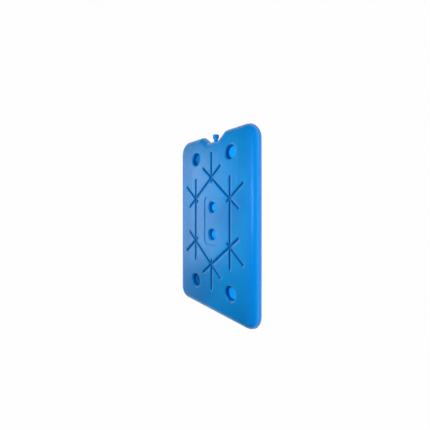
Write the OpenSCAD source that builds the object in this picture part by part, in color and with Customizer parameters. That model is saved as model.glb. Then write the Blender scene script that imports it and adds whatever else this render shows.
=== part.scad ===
// Slim reusable ice pack: a blow-moulded freezer board with a plugged filler neck.
// It lies on its back face. X is its width, Y points to the neck end, Z is its thickness.

/* [Board] */
// Width of the board, without its mould seam
board_w = 160; // [130:1:220]
// Height of the board from foot to neck end, without its mould seam
board_h = 255; // [235:1:330]
// Overall thickness of the board
board_t = 17.2; // [17:0.1:24]
// Radius of the rounding that runs all round the rim, front and back
rim_r = 8.25; // [5:0.25:8.25]
// Radius of the two corners at the neck end
top_corner_r = 20; // [12:0.5:30]
// Radius of the two corners at the foot
foot_corner_r = 17; // [12:0.5:30]
// How far the mould seam stands out round the rim
seam_h = 0.35; // [0.2:0.05:0.6]
// Width of the mould seam
seam_w = 0.5; // [0.3:0.05:0.6]

/* [Neck notch] */
// Width of the notch floor, between the feet of its sloping walls
notch_floor_w = 22; // [20:1:28]
// Depth of the notch
notch_depth = 10.5; // [10:0.25:13]
// Radius of the shoulders beside the notch
shoulder_r = 10.5; // [9.3:0.3:15]
// Radius between the notch floor and its walls
notch_fillet_r = 4.5; // [1.5:0.5:7]

/* [Filler neck and plug] */
// Outer diameter of the neck stub
neck_d = 6.2; // [5.6:0.2:8]
// Height of the neck stub above the notch floor
neck_h = 4.4; // [3:0.2:5]
// Diameter of the filler bore
bore_d = 3.8; // [3:0.1:4.4]
// Depth of the filler bore, from the neck's end
bore_depth = 12; // [9:0.5:18]
// Diameter of the plug's head
plug_head_d = 9; // [8:0.2:11]
// Height of the plug's head
plug_head_h = 5.3; // [4:0.1:5.5]
// Rounding of the head's edges
plug_edge_r = 0.8; // [0.3:0.1:1.2]
// Length of the shank inside the bore
plug_shank_l = 7; // [4:0.5:8]
// Radial clearance between the shank and the bore
plug_clearance = 0.1; // [0.05:0.05:0.3]

/* [Dimples] */
// Distance between the left and right corner dimples
corner_dimple_dx = 74.5; // [66:0.5:80]
// Distance between the upper and lower corner dimples
corner_dimple_dy = 186; // [176:0.5:190]
// Wall diameter of a corner dimple
corner_dimple_d = 17.6; // [10:0.2:19]
// Depth of a corner dimple
corner_dimple_depth = 7.6; // [6:0.1:7.8]
// Distance between the two centre dimples
centre_dimple_dy = 39; // [32:0.5:44]
// Wall diameter of a centre dimple
centre_dimple_d = 13.8; // [8:0.2:15]
// Depth of a centre dimple
centre_dimple_depth = 6.6; // [5.6:0.1:6.9]
// Radius of the soft lip round every dimple
dimple_lip_r = 3.2; // [1:0.2:3.6]
// Radius between a dimple's wall and its floor
dimple_floor_r = 1.6; // [0.6:0.2:2.4]

/* [Centre panel] */
// Width of the shallow panel
panel_w = 33; // [28:0.5:38]
// Height of the shallow panel
panel_h = 69; // [64:0.5:74]
// Depth of the shallow panel
panel_depth = 1; // [0.4:0.1:1.6]
// Corner radius of the shallow panel
panel_corner_r = 6; // [2:0.5:10]

/* [Snowflake grooves] */
// Height of the pattern's centre above the middle of the board
pattern_y = 2.4; // [-4:0.2:6]
// Distance from the pattern's centre to the side snowflakes, across
side_star_x = 37.1; // [34:0.1:42]
// Distance from the pattern's centre to the side snowflakes, along
side_star_y = 32; // [30:0.1:36]
// Distance from the pattern's centre to the end snowflakes
end_star_y = 62; // [58:0.1:66]
// Width of a groove
groove_w = 3.2; // [2:0.1:4.6]
// Depth of a groove, at least half of its width
groove_depth = 2.4; // [2.4:0.1:3.5]
// Length of the straight arms of the end snowflakes
end_long_arm_l = 35; // [26:0.5:38]
// Length of the slanted arms of the end snowflakes
end_short_arm_l = 23.6; // [14:0.2:26]
// Length of the straight arms of the side snowflakes
side_long_arm_l = 28.6; // [20:0.2:36]
// Length of the long slanted arms of the side snowflakes
slant_arm_l = 29.8; // [20:0.2:34]
// Length of the short slanted arms of the side snowflakes
side_short_arm_l = 19.6; // [12:0.2:24]
// Length of the stubs that point inwards
stub_l = 6; // [3:0.5:8]

/* [Hidden] */
$fn = 64;

// How far a cut starts above the surface that it enters
cut_over = 1;
// How far the pieces of the rim reach into the middle of the board
rim_lap = 1;

right_x = board_w / 2;
end_y = board_h / 2;
mid_z = board_t / 2;

// The notch walls climb 3 in 4. Each ends in two fillets that shorten it by their tangent lengths
wall_dir = [4, 3] / 5;
into_board = [wall_dir.y, -wall_dir.x];
wall_angle = atan2(wall_dir.y, wall_dir.x);
notch_y = end_y - notch_depth;
wall_l = notch_depth / wall_dir.y;
half_mouth = notch_floor_w / 2 + wall_l * wall_dir.x;
tangent_share = wall_dir.y / (1 + wall_dir.x);
shoulder_tangent = shoulder_r * tangent_share;
fillet_tangent = notch_fillet_r * tangent_share;
shoulder_c = [half_mouth + shoulder_tangent, end_y - shoulder_r];
fillet_c = [notch_floor_w / 2 - fillet_tangent, notch_y + notch_fillet_r];
fillet_reach = (notch_fillet_r + rim_r) / cos(wall_angle / 2);

top_corner_c = [right_x - top_corner_r, end_y - top_corner_r];
foot_corner_c = [right_x - foot_corner_r, foot_corner_r - end_y];

neck_end_y = notch_y + neck_h;
groove_r = groove_w / 2;
slant_angle = atan2(end_star_y - side_star_y, side_star_x);

// The full-thickness middle of the right half, inside the rounded rim
half_core = [
    [right_x - foot_corner_r, rim_r - end_y],
    [right_x - rim_r, foot_corner_c.y],
    [right_x - rim_r, top_corner_c.y],
    [top_corner_c.x, end_y - rim_r],
    [shoulder_c.x, end_y - rim_r],
    shoulder_c - (shoulder_r - rim_r) * into_board,
    fillet_c + (notch_fillet_r + rim_r) * into_board,
    fillet_c + fillet_reach * [sin(wall_angle / 2), -cos(wall_angle / 2)],
    [fillet_c.x, notch_y - rim_r]
];
core_outline = concat(half_core, [for (i = [len(half_core) - 1:-1:0]) [-half_core[i].x, half_core[i].y]]);

// Section through the rim: x runs outwards, y is the thickness, and the seam stands out beyond 0
module rim_section(inner) {
    difference() {
        translate([-inner, 0]) square([inner, board_t]);
        for (flip = [0, 1])
            translate([-rim_r, flip * board_t])
                mirror([0, flip])
                    difference() {
                        square(rim_r);
                        translate([0, rim_r]) circle(rim_r);
                    }
    }
    translate([-seam_h, mid_z - seam_w / 2]) square([2 * seam_h, seam_w]);
}

// A straight length of rim: it starts at p, faces the direction a and runs clockwise
module rim_bar(p, a, l) {
    translate([p.x, p.y, 0])
        rotate([0, 0, a])
            rotate([90, 0, 0])
                linear_extrude(l) rim_section(rim_r + rim_lap);
}

// An outward corner of radius r about c
module rim_corner(c, r, a, sweep) {
    translate([c.x, c.y, 0])
        rotate([0, 0, a])
            rotate_extrude(angle = sweep)
                translate([r, 0]) rim_section(r);
}

// An inward corner of radius r about c, whose solid lies outside the arc
module rim_inner_corner(c, r, a, sweep, reach) {
    translate([c.x, c.y, 0])
        rotate([0, 0, a])
            rotate_extrude(angle = sweep)
                translate([r, 0]) mirror([1, 0]) rim_section(reach - r);
}

module half_rim() {
    rim_bar([right_x, top_corner_c.y], 0, top_corner_c.y - foot_corner_c.y);
    rim_bar([shoulder_c.x, end_y], 90, top_corner_c.x - shoulder_c.x);
    rim_bar(fillet_c + notch_fillet_r * into_board, 90 + wall_angle, wall_l - shoulder_tangent - fillet_tangent);
    rim_corner(foot_corner_c, foot_corner_r, -90, 90);
    rim_corner(top_corner_c, top_corner_r, 0, 90);
    rim_corner(shoulder_c, shoulder_r, 90, wall_angle);
    rim_inner_corner(fillet_c, notch_fillet_r, -90, wall_angle, fillet_reach + rim_lap);
}

// The whole board with its rounded rim and its notch
module blank() {
    linear_extrude(board_t) polygon(core_outline);
    half_rim();
    mirror([1, 0, 0]) half_rim();
    rim_bar([foot_corner_c.x, -end_y], 270, 2 * foot_corner_c.x);
    rim_bar([-fillet_c.x, notch_y], 90, 2 * fillet_c.x);
}

module neck_stub() {
    translate([0, neck_end_y, mid_z])
        rotate([90, 0, 0])
            cylinder(d = neck_d, h = neck_h + rim_r);
}

module filler_bore() {
    translate([0, neck_end_y, mid_z])
        rotate([90, 0, 0])
            translate([0, 0, -cut_over])
                cylinder(d = bore_d, h = bore_depth + cut_over);
}

// Half of a groove's section: upright wall and rounded bottom, with the face at y = 0
module groove_half() {
    straight = groove_depth - groove_r;
    translate([0, -straight]) square([groove_r, straight + cut_over]);
    translate([0, -straight])
        intersection() {
            circle(groove_r);
            translate([0, -groove_r]) square(groove_r);
        }
}

// A groove in the face at z = 0: it passes through p at angle a, from l_back behind p to l_ahead
module groove(p, a, l_back, l_ahead) {
    translate([p.x, p.y, 0])
        rotate([0, 0, a])
            translate([-l_back, 0, 0]) {
                rotate([90, 0, 90])
                    linear_extrude(l_back + l_ahead)
                        union() {
                            groove_half();
                            mirror([1, 0]) groove_half();
                        }
                rotate_extrude() groove_half();
                translate([l_back + l_ahead, 0, 0]) rotate_extrude() groove_half();
            }
}

// Each straight groove is one cut. Where three cross, they make a snowflake
module snowflakes() {
    side_star = [side_star_x, side_star_y];
    link_l = norm([side_star_x, end_star_y - side_star_y]);
    side_l = side_star_y + side_long_arm_l;
    for (foot = [0, 1])
        mirror([0, foot, 0]) {
            groove([0, end_star_y], 90, stub_l, end_long_arm_l);
            for (side = [0, 1])
                mirror([side, 0, 0]) {
                    groove([0, end_star_y], -slant_angle, end_short_arm_l, link_l + side_short_arm_l);
                    groove(side_star, slant_angle, stub_l, slant_arm_l);
                }
        }
    for (side = [0, 1])
        mirror([side, 0, 0])
            groove([side_star_x, 0], 90, side_l, side_l);
}

// A round recess below z = 0 with a soft lip and a rounded floor
module dimple(d, depth) {
    r = d / 2;
    rotate_extrude()
        union() {
            translate([0, -depth]) square([r - dimple_floor_r, depth]);
            translate([0, dimple_floor_r - depth]) square([r, depth - dimple_floor_r]);
            translate([r - dimple_floor_r, dimple_floor_r - depth])
                intersection() {
                    circle(dimple_floor_r);
                    translate([0, -dimple_floor_r]) square(dimple_floor_r);
                }
            translate([r, -dimple_lip_r])
                difference() {
                    square(dimple_lip_r);
                    translate([dimple_lip_r, 0]) circle(dimple_lip_r);
                }
            square([r + dimple_lip_r, cut_over]);
        }
}

module dimples() {
    for (x = [-1, 1], y = [-1, 1])
        translate([x * corner_dimple_dx / 2, y * corner_dimple_dy / 2, 0])
            dimple(corner_dimple_d, corner_dimple_depth);
    for (y = [-1, 1])
        translate([0, y * centre_dimple_dy / 2, -panel_depth])
            dimple(centre_dimple_d, centre_dimple_depth);
}

module panel() {
    straight_w = panel_w - 2 * panel_corner_r;
    straight_h = panel_h - 2 * panel_corner_r;
    translate([0, 0, -panel_depth])
        linear_extrude(panel_depth + cut_over)
            union() {
                square([panel_w, straight_h], center = true);
                square([straight_w, panel_h], center = true);
                for (x = [-1, 1], y = [-1, 1])
                    translate([x * straight_w / 2, y * straight_h / 2]) circle(panel_corner_r);
            }
}

// Everything that is sunk into one face, with that face at z = 0
module face_relief() {
    translate([0, pattern_y, 0]) {
        snowflakes();
        dimples();
        panel();
    }
}

module pack_body() {
    color([0.16, 0.52, 0.82])
        difference() {
            union() {
                blank();
                neck_stub();
            }
            filler_bore();
            translate([0, 0, board_t]) face_relief();
            mirror([0, 0, 1]) face_relief();
        }
}

// The head's section, with rounded edges, for turning about the plug's axis
module plug_section() {
    head_r = plug_head_d / 2;
    shank_r = bore_d / 2 - plug_clearance;
    difference() {
        square([head_r, plug_head_h]);
        for (flip = [0, 1])
            translate([head_r - plug_edge_r, flip * plug_head_h])
                mirror([0, flip])
                    difference() {
                        square(plug_edge_r);
                        translate([0, plug_edge_r]) circle(plug_edge_r);
                    }
    }
    translate([0, -plug_shank_l]) square([shank_r, plug_shank_l]);
}

module filler_plug() {
    color([0.10, 0.45, 0.76])
        translate([0, neck_end_y, mid_z])
            rotate([-90, 0, 0])
                rotate_extrude() plug_section();
}

pack_body();
filler_plug();
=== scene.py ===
import math

import bpy
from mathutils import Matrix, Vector

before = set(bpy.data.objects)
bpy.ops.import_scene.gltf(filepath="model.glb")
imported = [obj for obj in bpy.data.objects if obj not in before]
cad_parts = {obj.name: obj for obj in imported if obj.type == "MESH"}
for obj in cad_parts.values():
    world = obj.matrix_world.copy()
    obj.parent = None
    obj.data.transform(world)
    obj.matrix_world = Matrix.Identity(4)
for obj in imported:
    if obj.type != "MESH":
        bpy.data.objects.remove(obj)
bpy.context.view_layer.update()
print("frame loaded:", ", ".join(sorted(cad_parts)))


class Wire:
    # One shader socket. Arithmetic on it adds Math nodes, and node() adds any other node
    def __init__(self, tree, socket=None):
        self.tree = tree
        self.socket = socket

    def node(self, kind, settings=None, inputs=None, output=0):
        made = self.tree.nodes.new(kind)
        for name, value in (settings or {}).items():
            setattr(made, name, value)
        for name, value in (inputs or {}).items():
            self.feed(made.inputs[name], value)
        return Wire(self.tree, made.outputs[output] if len(made.outputs) else None)

    def feed(self, socket, value):
        if isinstance(value, Wire):
            self.tree.links.new(value.socket, socket)
        else:
            socket.default_value = value

    def math(self, operation, first, second=0.0):
        return self.node("ShaderNodeMath", {"operation": operation}, {0: first, 1: second})

    def absolute(self):
        return self.math("ABSOLUTE", self)

    def smooth(self, low, high):
        settings = {"interpolation_type": "SMOOTHSTEP"}
        inputs = {"Value": self, "From Min": low, "From Max": high}
        return self.node("ShaderNodeMapRange", settings, inputs)

    def blend(self, mask, first, second):
        inputs = {0: mask, 6: first, 7: second}
        return self.node("ShaderNodeMix", {"data_type": "RGBA"}, inputs, output=2)

    def split(self, axis):
        return self.node("ShaderNodeSeparateXYZ", None, {0: self}, output=axis)

    def noise(self, scale, detail):
        return self.node("ShaderNodeTexNoise", None, {"Vector": self, "Scale": scale, "Detail": detail})

    def bump(self, height, under=None):
        inputs = {"Strength": 1.0, "Distance": height, "Height": self}
        if under is not None:
            inputs["Normal"] = under
        return self.node("ShaderNodeBump", None, inputs)

    def __add__(self, other):
        return self.math("ADD", self, other)

    def __radd__(self, other):
        return self.math("ADD", other, self)

    def __sub__(self, other):
        return self.math("SUBTRACT", self, other)

    def __rsub__(self, other):
        return self.math("SUBTRACT", other, self)

    def __mul__(self, other):
        return self.math("MULTIPLY", self, other)

    def __rmul__(self, other):
        return self.math("MULTIPLY", other, self)


def newMaterial(name):
    material = bpy.data.materials.new(name)
    material.use_nodes = True
    material.node_tree.nodes.clear()
    return material, Wire(material.node_tree)


def objectPlace(wire):
    return wire.node("ShaderNodeTexCoord", None, None, output=3)


def finishMaterial(wire, shader):
    wire.node("ShaderNodeOutputMaterial", None, {"Surface": shader})


def dress(nodeName, material):
    target = bpy.data.objects[nodeName]
    for slot in target.material_slots:
        slot.material = material
    print("dressed", nodeName, "with", material.name)


# The snowflake grooves, in metres, as they are moulded in the board
grooves = {
    "middle": 0.0024,               # the pattern's centre above the middle of the board
    "sideStar": (0.0371, 0.032),    # centre of a side snowflake, across and along
    "endStar": 0.062,               # centre of an end snowflake, along
    "endLong": 0.035,
    "endShort": 0.0236,
    "sideLong": 0.0286,
    "slant": 0.0298,
    "sideShort": 0.0196,
    "stub": 0.006,
}


def grooveLines(look):
    # The grooves of one quarter, as start and end. The other quarters mirror it
    sideX, sideY = look["sideStar"]
    side, end = Vector((sideX, sideY)), Vector((0.0, look["endStar"]))
    down = (side - end).normalized()
    up = Vector((down.x, -down.y))
    return [
        (end - Vector((0.0, look["stub"])), end + Vector((0.0, look["endLong"]))),
        (Vector((sideX, 0.0)), side + Vector((0.0, look["sideLong"]))),
        (end, side + down * look["sideShort"]),
        (end, end + up * look["endShort"]),
        (side - up * look["stub"], side + up * look["slant"]),
    ]


def grooveDistance(wire, place, look):
    # How far a point lies from the middle line of the nearest groove
    across = place.split(0).absolute()
    along = (place.split(1) - look["middle"]).absolute()
    nearest = None
    for start, end in grooveLines(look):
        way = (end - start).normalized()
        right, ahead = across - start.x, along - start.y
        reach = wire.math("MINIMUM", right * way.x + ahead * way.y, (end - start).length)
        reach = wire.math("MAXIMUM", reach, 0.0)
        asideX, asideY = right - reach * way.x, ahead - reach * way.y
        distance = wire.math("SQRT", asideX * asideX + asideY * asideY)
        nearest = distance if nearest is None else wire.math("MINIMUM", nearest, distance)
    return nearest


boardFinish = {
    "blue": (0.001, 0.205, 0.54, 1.0),
    "deepBlue": (0.0, 0.168, 0.475, 1.0),
    "cloudScale": 14.0,             # slow change in wall thickness, per metre
    "cloudBand": (0.35, 0.65),
    "streakScale": 100.0,           # moulding streaks that run along the board
    "streakStretch": (1.0, 0.06, 1.0),
    "streakBand": (0.25, 0.75),
    "streakShade": 0.08,
    "rimPaintedLightBlue": (0.0, 0.19, 0.59, 1.0),
    "rimPaintedLightSide": (0.060, 0.075),      # where the long sides turn to their deeper blue, painted light shining through their rounding
    "edgeGlowBlue": (0.0, 0.275, 0.85, 1.0),
    "edgeGlowReach": (0.0030, 0.0078),  # how far from mid height the outer rim is painted lighter, a painted glow of light through the rim
    "roughness": 0.25,
    "cloudRoughness": 0.06,
    "streakRoughness": 0.05,
    "sunkRoughness": 0.3,           # added in the recesses
    "ior": 1.5,
    "waveScale": 22.0,
    "waveHeight": 0.00008,
    "grainScale": 2600.0,
    "grainHeight": 0.00002,
}

recesses = {
    # painted shade: recesses and groove sides are painted towards this blue; the moulding streaks are blended
    # towards it too
    "paintedShadeAndStreakBlue": (0.0, 0.12, 0.39, 1.0),
    "midHeight": 0.0086,            # half the board's thickness
    "faceSide": (0.067, 0.069),     # where the flat face with the recesses ends, across
    "faceEnd": (0.1073, 0.1083),    # and along
    "panelSide": (0.0160, 0.0165),  # the same for the centre panel, which lies a little deeper
    "panelEnd": (0.0340, 0.0345),
    "panelMiddle": 0.0024,
    "panelDepth": 0.001,
    "sunkDepth": (0.0002, 0.0012),  # depths over which a recess takes its painted shade and added roughness
    "lipReach": (0.0014, 0.0036),   # distances from a groove's middle over which its soft lip ends, and over which the painted shade beside it fades
    "lipHeight": 0.0004,
    "lipPaintedShade": 0.45,
    # the thin dimple floors are painted lighter, for their thinner plastic and as a painted glow of light
    # through them
    "thinWebAndGlowBlue": (0.0, 0.32, 0.88, 1.0),
    "webPaintedShadeBlue": (0.0, 0.105, 0.33, 1.0),
    "webReach": (0.0012, 0.0022),   # how far from mid height the thin floor of a dimple is
    "webShadeSide": (-0.045, -0.012),    # the floors on the left and at the foot are painted in shade, the others with the painted glow
    "webLean": 0.1,
}


def faceMask(place, look):
    across, along = place.split(0).absolute(), place.split(1).absolute()
    return (1 - across.smooth(*look["faceSide"])) * (1 - along.smooth(*look["faceEnd"]))


def sunkMask(place, face, height, look):
    across = place.split(0).absolute()
    along = (place.split(1) - look["panelMiddle"]).absolute()
    panel = (1 - across.smooth(*look["panelSide"])) * (1 - along.smooth(*look["panelEnd"]))
    depth = look["midHeight"] - height - panel * look["panelDepth"]
    return face * depth.smooth(*look["sunkDepth"])


def webPaintedLight(wire, place, look):
    # painted light: floors on the left and at the foot take a painted shade, the others a painted glow
    lit = (place.split(0) + place.split(1) * look["webLean"]).smooth(*look["webShadeSide"])
    return wire.blend(lit, look["webPaintedShadeBlue"], look["thinWebAndGlowBlue"])


def boardPlastic(look, hollow):
    material, wire = newMaterial("satinBluePolyethylene")
    place = objectPlace(wire)
    cloud = place.noise(look["cloudScale"], 2.0)
    stretched = wire.node("ShaderNodeMapping", None, {"Vector": place, "Scale": look["streakStretch"]})
    streak = stretched.noise(look["streakScale"], 1.0).smooth(*look["streakBand"])
    height = (place.split(2) - hollow["midHeight"]).absolute()
    face = faceMask(place, hollow)
    sunk = sunkMask(place, face, height, hollow)
    # lip marks the band beside each groove: it is painted in shade and also bumped as a soft lip
    lip = 1 - grooveDistance(wire, place, grooves).smooth(*hollow["lipReach"])
    web = face * (1 - height.smooth(*hollow["webReach"]))
    # painted glow: the outer rim near mid height is painted a lighter blue
    edge = (1 - face) * (1 - height.smooth(*look["edgeGlowReach"]))

    color = wire.blend(cloud.smooth(*look["cloudBand"]), look["deepBlue"], look["blue"])
    color = wire.blend(streak * look["streakShade"], color, hollow["paintedShadeAndStreakBlue"])
    # painted shade in the recesses and in the band beside each groove
    paintedShade = wire.math("MAXIMUM", sunk, lip * hollow["lipPaintedShade"])
    color = wire.blend(paintedShade, color, hollow["paintedShadeAndStreakBlue"])
    color = wire.blend(web, color, webPaintedLight(wire, place, hollow))
    # painted light: the long sides take a deeper, more saturated blue
    color = wire.blend(place.split(0).absolute().smooth(*look["rimPaintedLightSide"]), color, look["rimPaintedLightBlue"])
    color = wire.blend(edge, color, look["edgeGlowBlue"])

    roughness = look["roughness"] + (cloud - 0.5) * look["cloudRoughness"] + sunk * look["sunkRoughness"]
    roughness = roughness + (streak - 0.5) * look["streakRoughness"]

    lips = (1 - lip).bump(hollow["lipHeight"])
    waves = place.noise(look["waveScale"], 1.0).bump(look["waveHeight"], lips)
    grains = place.noise(look["grainScale"], 2.0).bump(look["grainHeight"], waves)
    shader = wire.node("ShaderNodeBsdfPrincipled", None, {
        "Base Color": color, "Roughness": roughness, "IOR": look["ior"], "Normal": grains})
    finishMaterial(wire, shader)
    return material


plugFinish = {
    "blue": (0.0, 0.23, 0.66, 1.0),
    "roughness": 0.32,
    "ior": 1.5,
    "grainScale": 2600.0,
    "grainHeight": 0.00002,
}


def plugPlastic(look):
    material, wire = newMaterial("plugBluePolyethylene")
    grains = objectPlace(wire).noise(look["grainScale"], 2.0).bump(look["grainHeight"])
    shader = wire.node("ShaderNodeBsdfPrincipled", None, {
        "Base Color": look["blue"], "Roughness": look["roughness"], "IOR": look["ior"], "Normal": grains})
    finishMaterial(wire, shader)
    return material


dress("pack_body", boardPlastic(boardFinish, recesses))
dress("filler_plug", plugPlastic(plugFinish))

studio = {
    "floorWidth": 9.0,
    "floorFront": 4.5,              # how far the floor runs to the right of the board
    "sweepStart": 0.75,             # where the floor begins to turn up, left of the board
    "sweepRadius": 0.25,
    "sweepSteps": 12,
    "wallTop": 0.32,
    "whiteShare": 0.985,            # part of the white that no shadow takes away
    "paper": (0.7, 0.7, 0.7, 1.0),
}


def sweepMaterial(look):
    material, wire = newMaterial("whiteSweep")
    rays = wire.tree.nodes.new("ShaderNodeLightPath")
    camera = Wire(wire.tree, rays.outputs["Is Camera Ray"])
    glossy = Wire(wire.tree, rays.outputs["Is Glossy Ray"])
    through = Wire(wire.tree, rays.outputs["Is Transmission Ray"])
    seen = wire.math("MINIMUM", camera + glossy + through, 1.0)
    paper = wire.node("ShaderNodeBsdfDiffuse", None, {"Color": look["paper"]})
    glow = wire.node("ShaderNodeEmission", None, {"Color": (1.0, 1.0, 1.0, 1.0), "Strength": 1.0})
    shader = wire.node("ShaderNodeMixShader", None, {0: seen * look["whiteShare"], 1: paper, 2: glow})
    finishMaterial(wire, shader)
    return material


def selectEdges(obj, test):
    bpy.ops.mesh.select_all(action="DESELECT")
    bpy.ops.object.mode_set(mode="OBJECT")
    for edge in obj.data.edges:
        ends = [obj.data.vertices[index].co for index in edge.vertices]
        edge.select = all(test(end) for end in ends)
    bpy.ops.object.mode_set(mode="EDIT")


def makeSweep(look):
    bpy.ops.object.select_all(action="DESELECT")
    turn = -look["sweepStart"]
    length = look["floorFront"] - turn
    middle = (look["floorFront"] + turn) / 2
    bpy.ops.mesh.primitive_plane_add(size=1.0, location=(middle, 0.0, 0.0))
    sweep = bpy.context.object
    sweep.name = "studioSweep"
    sweep.scale = (length, look["floorWidth"], 1.0)
    bpy.ops.object.transform_apply(location=True, rotation=True, scale=True)
    bpy.ops.object.mode_set(mode="EDIT")
    bpy.ops.mesh.select_mode(type="EDGE")
    selectEdges(sweep, lambda end: end.x < middle)
    bpy.ops.mesh.spin(steps=look["sweepSteps"], angle=math.radians(90),
                      center=(turn, 0.0, look["sweepRadius"]), axis=(0.0, 1.0, 0.0))
    rise = look["wallTop"] - look["sweepRadius"]
    bpy.ops.mesh.extrude_region_move(TRANSFORM_OT_translate={"value": (0.0, 0.0, rise)})
    bpy.ops.object.mode_set(mode="OBJECT")
    bpy.ops.object.shade_smooth()
    sweep.data.materials.append(sweepMaterial(look))
    print("sweep made:", len(sweep.data.polygons), "faces")


makeSweep(studio)

# A lamp with shine shows as a soft reflection, the others only light the board
lamps = {
    "overhead": {
        "place": (0.055, 0.04, 0.31), "aim": (0.0, 0.0, 0.0), "size": (0.2, 0.2),
        "power": 1.22, "shine": False},
    "sideSoftbox": {
        "place": (-0.92, 0.0, 0.54), "aim": (0.0, 0.0, 0.0), "size": (0.66, 0.42),
        "power": 2.8, "shine": True},
    "lowRight": {
        "place": (1.3, 0.0, 0.09), "aim": (0.0, 0.0, 0.01), "size": (1.0, 0.12),
        "power": 9.0, "shine": False},
}


def placeLamp(name, look):
    data = bpy.data.lights.new(name, "AREA")
    data.shape = "RECTANGLE"
    data.size, data.size_y = look["size"]
    data.energy = look["power"]
    lamp = bpy.data.objects.new(name, data)
    bpy.context.collection.objects.link(lamp)
    lamp.location = look["place"]
    lamp.rotation_euler = (lamp.location - Vector(look["aim"])).to_track_quat("Z", "Y").to_euler()
    lamp.visible_glossy = look["shine"]


for lampName, lampLook in lamps.items():
    placeLamp(lampName, lampLook)
print("lamps placed:", len(lamps))

room = {"ambient": 0.06}


def makeWorld(look):
    world = bpy.data.worlds.new("studioAir")
    bpy.context.scene.world = world
    world.use_nodes = True
    world.node_tree.nodes.clear()
    wire = Wire(world.node_tree)
    air = wire.node("ShaderNodeBackground", None, {"Color": (1.0, 1.0, 1.0, 1.0), "Strength": look["ambient"]})
    wire.node("ShaderNodeOutputWorld", None, {"Surface": air})
    print("air lit at", look["ambient"])


makeWorld(room)

view = {
    "place": (0.25682, 0.02943, 0.23384),
    "tilt": 48.983,                 # degrees between the line of sight and straight down
    "focal": 19.708,                # millimetres, on the sensor below
    "sensor": 36.0,
    "shiftUp": -0.0301,
    "nearest": 0.01,
}


def placeCamera(look):
    data = bpy.data.cameras.new("viewCamera")
    data.sensor_fit = "HORIZONTAL"
    data.sensor_width = look["sensor"]
    data.lens = look["focal"]
    data.shift_y = look["shiftUp"]
    data.clip_start = look["nearest"]
    camera = bpy.data.objects.new("viewCamera", data)
    bpy.context.collection.objects.link(camera)
    camera.location = look["place"]
    camera.rotation_euler = (0.0, math.radians(look["tilt"]), 0.0)
    bpy.context.scene.camera = camera
    print("camera placed at", look["place"])


placeCamera(view)
bpy.context.scene.view_settings.view_transform = "Standard"
